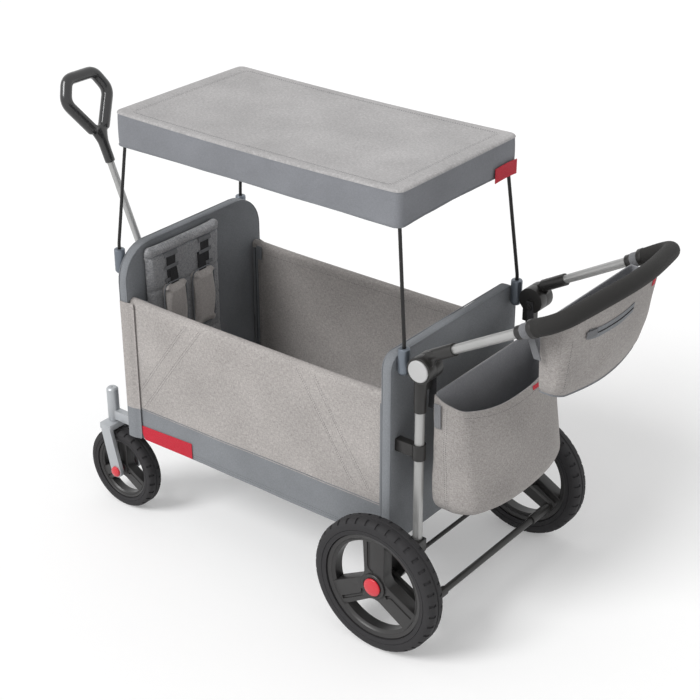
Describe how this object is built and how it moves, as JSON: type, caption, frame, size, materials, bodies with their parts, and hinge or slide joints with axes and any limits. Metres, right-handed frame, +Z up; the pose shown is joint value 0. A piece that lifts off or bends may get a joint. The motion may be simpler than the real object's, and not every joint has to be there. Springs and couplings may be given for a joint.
{
  "type": "folding wagon",
  "caption": "Folding stroller wagon with a fabric tub, a canopy on rods, a push handle, a pull handle, swivel casters and large rear wheels.",
  "frame": {"origin": "on the ground, at the middle of the whole wagon's length and width", "axes": "+X along the length towards the push handle and big rear wheels, +Y to the wagon's left, +Z up"},
  "size_m": [1.5748, 0.637, 1.0276],
  "materials": {
    "slate_fabric": "woven slate fabric",
    "heather_fabric": "heather grey melange weave",
    "dark_heather": "dark heather padding",
    "silver_tube": "satin anodised",
    "grey_casting": "silver-grey paint",
    "black_plastic": "fine-grained black plastic",
    "black_steel": "black powder coat",
    "foam": "closed-cell foam",
    "tyre": "moulded tyre rubber",
    "red_plastic": "glossy red plastic",
    "floor_board": "padded floor board"
  },
  "bodies": {
    "rear_frame": {"rear_end_frame": "black_steel", "rear_cover": "slate_fabric", "rear_canopy_hoop": "black_steel", "canopy_cover": "heather_fabric", "rear_axle": "black_steel", "rear_basket": "heather_fabric", "rear_rod_socket_left": "grey_casting", "rear_rod_socket_right": "grey_casting", "push_post_left": "silver_tube", "push_post_right": "silver_tube", "post_clip_left": "black_plastic", "post_clip_right": "black_plastic", "axle_bracket_left": "black_plastic", "axle_bracket_right": "black_plastic", "hub_base_left": "black_plastic", "hub_base_right": "black_plastic", "side_panel_left": "heather_fabric", "side_panel_right": "heather_fabric"},
    "floor_rear": {"floor_rear": "floor_board"},
    "floor_front": {"floor_front": "floor_board"},
    "front_frame": {"front_end_frame": "black_steel", "front_cover": "slate_fabric", "front_canopy_hoop": "black_steel", "pull_bracket": "black_plastic", "seat_back": "dark_heather", "front_rod_socket_left": "grey_casting", "front_rod_socket_right": "grey_casting", "caster_housing_left": "grey_casting", "caster_housing_right": "grey_casting", "shoulder_pad_left": "heather_fabric", "shoulder_pad_right": "heather_fabric"},
    "rails_rear": {"side_rail_rear_left": "black_steel", "side_rail_rear_right": "black_steel"},
    "rails_front": {"side_rail_front_left": "black_steel", "side_rail_front_right": "black_steel"},
    "push_handle": {"push_bar": "silver_tube", "push_grip": "foam", "console_bag": "heather_fabric", "hub_arm_left": "black_plastic", "hub_arm_right": "black_plastic"},
    "pull_handle": {"pull_tube_outer": "silver_tube"},
    "pull_extension": {"pull_tube_inner": "silver_tube", "pull_grip": "black_plastic"},
    "brake": {"brake_bar": "black_plastic"},
    "hub_button_left": {"hub_button_left": "silver_tube"},
    "rear_wheel_left": {"rear_tyre_left": "tyre", "rear_rim_left": "black_plastic", "rear_hub_cap_left": "red_plastic"},
    "caster_left": {"caster_fork_left": "grey_casting", "caster_bolt_left": "red_plastic"},
    "front_wheel_left": {"front_tyre_left": "tyre", "front_rim_left": "black_plastic"},
    "hub_button_right": {"hub_button_right": "silver_tube"},
    "rear_wheel_right": {"rear_tyre_right": "tyre", "rear_rim_right": "black_plastic", "rear_hub_cap_right": "red_plastic"},
    "caster_right": {"caster_fork_right": "grey_casting", "caster_bolt_right": "red_plastic"},
    "front_wheel_right": {"front_tyre_right": "tyre", "front_rim_right": "black_plastic"}
  },
  "joints": [
    {"name": "fold", "type": "hinge", "parent": "rear_frame", "child": "floor_rear", "pos_m": [0.2945, 0, 0.228], "axis": [0, 1, 0], "range_deg": [0, 70], "deforming": ["canopy_cover", "side_panel_left", "side_panel_right"]},
    {"name": "fold_middle", "type": "hinge", "parent": "floor_rear", "child": "floor_front", "pos_m": [-0.0455, 0, 0.228], "axis": [0, 1, 0], "range_deg": [-140, 0]},
    {"name": "fold_front", "type": "hinge", "parent": "floor_front", "child": "front_frame", "pos_m": [-0.3855, 0, 0.228], "axis": [0, 1, 0], "range_deg": [0, 70]},
    {"name": "rails_rear_fold", "type": "hinge", "parent": "rear_frame", "child": "rails_rear", "pos_m": [0.2945, 0, 0.5675], "axis": [0, 1, 0], "range_deg": [-70, 0]},
    {"name": "rails_front_fold", "type": "hinge", "parent": "front_frame", "child": "rails_front", "pos_m": [-0.3855, 0, 0.5675], "axis": [0, 1, 0], "range_deg": [0, 70]},
    {"name": "push_tilt", "type": "hinge", "parent": "rear_frame", "child": "push_handle", "pos_m": [0.4145, 0, 0.665], "axis": [0, 1, 0], "range_deg": [-45, 25]},
    {"name": "pull_tilt", "type": "hinge", "parent": "front_frame", "child": "pull_handle", "pos_m": [-0.4595, 0, 0.252], "axis": [0, 1, 0], "range_deg": [-50, 20]},
    {"name": "pull_extend", "type": "slide", "parent": "pull_handle", "child": "pull_extension", "axis": [-0.3907, 0, 0.9205], "range_m": [-0.21, 0]},
    {"name": "brake_press", "type": "hinge", "parent": "rear_frame", "child": "brake", "pos_m": [0.3615, 0, 0.159], "axis": [0, 1, 0], "range_deg": [0, 12]},
    {"name": "hub_press_left", "type": "slide", "parent": "push_handle", "child": "hub_button_left", "axis": [0, -1, 0], "range_m": [0, 0.003], "stiffness_N_per_m": 300, "springref_m": -0.002},
    {"name": "rear_roll_left", "type": "hinge", "parent": "rear_frame", "child": "rear_wheel_left", "pos_m": [0.3615, 0.291, 0.159], "axis": [0, 1, 0], "continuous": true},
    {"name": "caster_swivel_left", "type": "hinge", "parent": "front_frame", "child": "caster_left", "pos_m": [-0.5055, 0.218, 0.227], "axis": [0, 0, 1], "continuous": true},
    {"name": "front_roll_left", "type": "hinge", "parent": "caster_left", "child": "front_wheel_left", "pos_m": [-0.4755, 0.218, 0.104], "axis": [0, 1, 0], "continuous": true},
    {"name": "hub_press_right", "type": "slide", "parent": "push_handle", "child": "hub_button_right", "axis": [0, 1, 0], "range_m": [0, 0.003], "stiffness_N_per_m": 300, "springref_m": -0.002},
    {"name": "rear_roll_right", "type": "hinge", "parent": "rear_frame", "child": "rear_wheel_right", "pos_m": [0.3615, -0.291, 0.159], "axis": [0, 1, 0], "continuous": true},
    {"name": "caster_swivel_right", "type": "hinge", "parent": "front_frame", "child": "caster_right", "pos_m": [-0.5055, -0.218, 0.227], "axis": [0, 0, 1], "continuous": true},
    {"name": "front_roll_right", "type": "hinge", "parent": "caster_right", "child": "front_wheel_right", "pos_m": [-0.4755, -0.218, 0.104], "axis": [0, 1, 0], "continuous": true}
  ],
  "couplings": [
    {"joint": "fold_middle", "follows": "fold", "ratio": -2},
    {"joint": "fold_front", "follows": "fold", "ratio": 1},
    {"joint": "rails_rear_fold", "follows": "fold", "ratio": -1},
    {"joint": "rails_front_fold", "follows": "fold", "ratio": 1}
  ]
}
